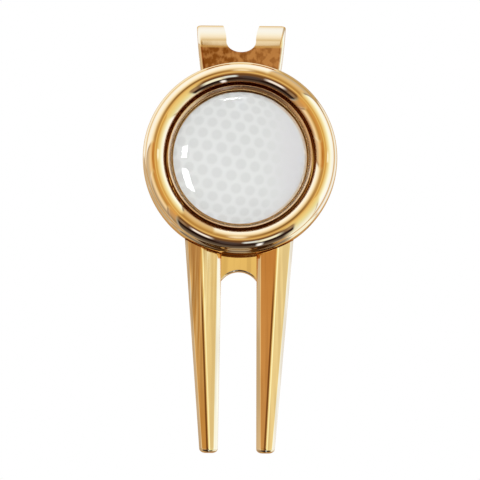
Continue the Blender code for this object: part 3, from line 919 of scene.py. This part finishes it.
# The room as the plain gold mirrors it. It is a tent with walls round a line that runs forwards and a
# little up; the walls meet at edges given in degrees about that line, anticlockwise from the right.
# What is left between the last edge and the first is the right wall. Each wall has its looks by the
# angle in degrees from that line; all walls start alike straight ahead and end alike behind.
TENT_LIFT = radians(9)
TENT_SEAM = 2.0                                    # softness of the walls' edges, in degrees
TENT_AHEAD = (0, "eabe66")
TENT_BEHIND = [(150, "d4ac6c"), (180, "b88c50")]
TENT_EDGES = {
    "panel": (49, 74), "top": (74, 167), "corner": (167, 187), "left": (187, 214),
    "corner_low": (214, 223), "dark": (223, 311), "low": (311, 336),
}
TENT_LOOKS = {
    "right": [(5, "d8a24c"), (10, "d49e48"), (17, "e0b668"), (25, "eccc84"), (35, "f2dc9e"),
              (45, "f8ecba"), (55, "fff8d4"), (66, "fffade"), (80, "fffae6"), (110, "f8f4e8")],
    "panel": [(5, "c8924a"), (10, "c08c42"), (17, "b4823c"), (25, "c8964e"), (35, "d8ac66"),
              (50, "e0b878"), (66, "dcb680"), (80, "caae83"), (110, "c5af8a")],
    "top": [(5, "c8924a"), (10, "b88440"), (17, "b88844"), (24, "c89c5c"), (30, "e0bc80"),
            (36, "f0d4a0"), (43, "fce4b8"), (55, "fff0cc"), (66, "fff4d8"), (80, "fff6de"),
            (100, "fdf4e0"), (130, "f8ecda")],
    "corner": [(5, "cc9040"), (14, "c07c2e"), (22, "c4803a"), (28, "d49a52"), (36, "e8b870"),
               (48, "f0c686"), (60, "e0ba84"), (75, "d0b080"), (100, "c8aa82"), (130, "d2b68e")],
    "left": [(5, "d09646"), (16, "cc8c3e"), (28, "bf843a"), (36, "cca058"), (46, "ecc488"),
             (57, "f8d69e"), (66, "e4c290"), (76, "ceac80"), (90, "ae9064"), (100, "b09468"),
             (120, "caac85")],
    "corner_low": [(5, "d49a4a"), (20, "da9c4c"), (35, "cc9450"), (50, "c8945a"), (66, "c0925c"),
                   (80, "a9824f"), (90, "a47f4e"), (110, "b8966a"), (130, "caaa7a")],
    "dark": [(6, "c08c50"), (12, "8a5c28"), (18, "6a421c"), (25, "6e4a28"), (35, "604436"),
             (45, "48301f"), (53, "301a10"), (63, "2c1a12"), (72, "483628"), (96, "65543f"),
             (110, "7c6850"), (125, "a89070")],
    "low": [(5, "e4b868"), (12, "eec674"), (25, "eecc7c"), (40, "ecd68e"), (55, "eadca0"),
            (66, "ecdfb0"), (80, "f2e8c0"), (100, "f8efce"), (130, "fdf7dc")],
}
# Cards, gaps and seams in the walls: look, middle (about the line, from the line), size (about, from),
# softness (about, from) and share
TENT_CARDS = [
    ("a48058", (228, 36), (7, 20), (4, 5), 0.8),       # lighter ends of the dark floor
    ("a88458", (307, 34), (7, 22), (4, 5), 0.8),
    ("e8c070", (309, 12), (14, 16), (5, 5), 0.9),
    ("e8dab0", (310, 94), (9, 36), (4, 8), 0.8),
    ("140804", (240, 57), (26, 15), (7, 4), 0.9),      # the darkest of it
    ("1c0e08", (290, 64), (30, 13), (7, 4), 0.8),
    ("4a3c34", (262, 44), (14, 24), (4, 6), 0.8),
    ("f8e8d4", (243, 32), (15, 17), (3, 4), 1.0),      # daylight over it
    ("e4e4d6", (278, 33), (10, 15), (2, 4), 0.95),
    ("f8eec8", (291, 37), (17, 20), (4, 4), 1.0),
    ("fff8ec", (284.5, 78), (4, 34), (1.5, 6), 1.0),
    ("6a4a28", (49, 110), (1.8, 130), (1, 10), 0.8),   # seams between the walls
    ("9a6a38", (168, 110), (2, 120), (1.5, 10), 0.7),
    ("8a6038", (213.5, 70), (1.8, 60), (1, 8), 0.8),
    ("b08c60", (334, 110), (1.8, 90), (1, 8), 0.7),
    ("6a4412", (122, 17), (40, 10), (14, 4), 0.75),    # a shadow under the top
    ("fbe0ac", (89, 18), (10, 18), (4, 4), 0.9),       # brighter spots straight above and on the right
    ("fff0c0", (3, 26), (8, 18), (2.5, 3), 1.0),
    ("b87428", (177, 22), (7, 12), (2.5, 3), 0.9),     # a darker spot on the left
]


def tent(nodes):
    """The looks of the room in the direction of a ray."""
    direction = nodes.add("ShaderNodeTexCoord").outputs["Generated"]
    ahead = nodes.vector("DOT_PRODUCT", direction, (0, -cos(TENT_LIFT), sin(TENT_LIFT)))
    up = nodes.vector("DOT_PRODUCT", direction, (0, sin(TENT_LIFT), cos(TENT_LIFT)))
    right = nodes.parts(direction)[0]
    off = nodes.math("DEGREES", nodes.math("ARCCOSINE", ahead))
    about = nodes.math("DEGREES", nodes.math("ARCTAN2", up, right))
    about = nodes.math("MODULO", nodes.math("ADD", about, 360.0), 360.0)
    looks = {}
    for wall, stops in TENT_LOOKS.items():
        looks[wall] = nodes.ramp(off, [TENT_AHEAD, *stops, *TENT_BEHIND])
    look = looks["right"]
    for wall, (first, last) in TENT_EDGES.items():
        look = nodes.mix(nodes.window(about, first, last, TENT_SEAM), look, looks[wall])
    for colour, middle, size, soft, share in TENT_CARDS:
        across = nodes.window(about, middle[0] - size[0] / 2, middle[0] + size[0] / 2, soft[0])
        along = nodes.window(off, middle[1] - size[1] / 2, middle[1] + size[1] / 2, soft[1])
        mask = nodes.math("MULTIPLY", nodes.math("MULTIPLY", across, along), share)
        look = nodes.mix(mask, look, rgba(colour))
    return look


def studio():
    """White for the camera and for matt surfaces; mirrors see the tent."""
    world = bpy.data.worlds.new("studio")
    bpy.context.scene.world = world
    world.use_nodes = True
    world.cycles.sampling_method = "NONE"
    world.node_tree.nodes.clear()
    nodes = Nodes(world.node_tree)
    mirrored = nodes.add("ShaderNodeBackground")
    nodes.plug(mirrored.inputs["Color"], nodes.vector("DIVIDE", tent(nodes), GOLD))
    white = nodes.add("ShaderNodeBackground")
    white.inputs["Color"].default_value = (1, 1, 1, 1)
    choice = nodes.add("ShaderNodeMixShader")
    ray = nodes.add("ShaderNodeLightPath").outputs
    reflected = nodes.math("SUBTRACT", ray["Is Glossy Ray"], ray["Is Transmission Ray"], clamp=True)
    nodes.plug(choice.inputs[0], reflected)
    nodes.plug(choice.inputs[1], white.outputs[0])
    nodes.plug(choice.inputs[2], mirrored.outputs[0])
    nodes.plug(nodes.add("ShaderNodeOutputWorld").inputs["Surface"], choice.outputs[0])


def pale_floor():
    """Nearly white, see-through from below and far away."""
    material = bpy.data.materials.new("pale_floor")
    material.use_nodes = True
    nodes = Nodes(material.node_tree)
    shader = material.node_tree.nodes["Principled BSDF"]
    place = nodes.add("ShaderNodeTexCoord").outputs["Object"]
    speckle = nodes.noise(place, 300.0, 3.0)
    nodes.plug(shader.inputs["Base Color"], nodes.mix(speckle, rgba("f6f6f5"), rgba("fbfbfa")))
    shader.inputs["Roughness"].default_value = 0.9
    shader.inputs["Specular IOR Level"].default_value = 0.0
    far = nodes.smooth(nodes.vector("LENGTH", place), *FLOOR_FADE)
    below = nodes.add("ShaderNodeNewGeometry").outputs["Backfacing"]
    choice = nodes.add("ShaderNodeMixShader")
    nodes.plug(choice.inputs[0], nodes.math("MAXIMUM", far, below))
    nodes.plug(choice.inputs[1], shader.outputs[0])
    nodes.plug(choice.inputs[2], nodes.add("ShaderNodeBsdfTransparent").outputs[0])
    output = material.node_tree.nodes["Material Output"]
    nodes.plug(output.inputs["Surface"], choice.outputs[0])
    return material


def floor():
    """A plain floor under the prong tips, seen by the camera only."""
    mesh = bmesh.new()
    bmesh.ops.create_grid(mesh, x_segments=1, y_segments=1, size=FLOOR_SIZE / 2)
    bmesh.ops.translate(mesh, verts=mesh.verts, vec=(0, 0, cad_bounds[0].z - FLOOR_GAP))
    data = bpy.data.meshes.new("floor")
    mesh.to_mesh(data)
    mesh.free()
    data.materials.append(pale_floor())
    piece = bpy.data.objects.new("floor", data)
    bpy.context.scene.collection.objects.link(piece)
    piece.visible_glossy = False
    piece.visible_diffuse = False
    piece.visible_transmission = False
    piece.visible_shadow = False


def softbox(name, direction, angles, power, receivers):
    """A rectangular light that only the given pieces catch; direction and angles in degrees."""
    azimuth, elevation = (radians(angle) for angle in direction)
    towards = Vector((
        sin(azimuth) * cos(elevation), -cos(azimuth) * cos(elevation), sin(elevation),
    ))
    light = bpy.data.lights.new(name, "AREA")
    light.shape = "RECTANGLE"
    light.size = 2 * SOFTBOX_DISTANCE * tan(radians(angles[0] / 2))
    light.size_y = 2 * SOFTBOX_DISTANCE * tan(radians(angles[1] / 2))
    light.energy = power
    lamp = bpy.data.objects.new(name, light)
    lamp.location = Vector((0, BACK, AXIS_Z)) + towards * SOFTBOX_DISTANCE
    lamp.rotation_euler = towards.to_track_quat("Z", "Y").to_euler()
    bpy.context.scene.collection.objects.link(lamp)
    group = bpy.data.collections.new(name + "_receivers")
    for piece in receivers:
        group.objects.link(piece)
    lamp.light_linking.receiver_collection = group


def camera():
    """Looks up at the front from a little below, with the tool high in the picture."""
    data = bpy.data.cameras.new("camera")
    data.sensor_width = SENSOR
    data.lens = SENSOR * VIEW_DISTANCE / VIEW_WIDTH
    turn = Matrix.Rotation(pi / 2 + VIEW_TILT, 4, "X") @ Matrix.Rotation(VIEW_ROLL, 4, "Z")
    right, up, back = (turn.col[index].to_3d() for index in range(3))
    head_middle = Vector((0, (BACK + RING_LOW.y) / 2, AXIS_Z))
    aim = head_middle - up * VIEW_DROP
    item = bpy.data.objects.new("camera", data)
    item.matrix_world = Matrix.Translation(aim + back * VIEW_DISTANCE) @ turn
    bpy.context.scene.collection.objects.link(item)
    bpy.context.scene.camera = item


# Scene


def main():
    ring_plate = plated("gold_plate", ring_gold, 0.03)
    along_prongs = (1.0, 1.0, 0.06)
    fork_plate = plated("streaked_gold_plate", fork_gold, 0.05, 0.005 * MM, along_prongs, prong_relief)
    satin = plated("satin_gold", cup_gold, 0.26)
    rim = plated("rim_gold", rim_gold, 0.12)
    copper = plated("stained_and_shaded_gold_strip", stained_and_shaded_clip, 0.09, 0.006 * MM)
    spring = plated("gold_strip", strip_gold, 0.1, 0.006 * MM)
    pieces = {
        "bezel_ring": (bezel_ring(ring_plate), "gold_plate"),
        "seat_cup": (seat_cup(satin), "satin_gold"),
        "marker_disc": (marker_disc(rim), "gold_plate"),
        "marker_print": (marker_print(dimpled_print()), "printed_sheet"),
        "marker_dome": (marker_dome(clear_resin()), "clear_resin"),
        "fork_body": (fork(fork_plate), "gold_plate"),
        "clip_plate": (clip_strip(copper), "gold_strip"),
        "clip_arm": (clip_tongue(spring), "gold_strip"),
    }
    for node, (piece, slot) in pieces.items():
        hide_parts(node)
    carried_over = {"magnet": nickel(), "clip_rivet_left": spring, "clip_rivet_right": spring}
    for node, material in carried_over.items():
        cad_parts[node].data.materials.clear()
        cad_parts[node].data.materials.append(material)
    studio()
    floor()
    dome = pieces["marker_dome"][0]
    for name, direction, angles, power in SOFTBOXES:
        softbox(name, direction, angles, power, [dome])
    camera()
    bpy.context.scene.view_settings.view_transform = "Standard"


main()
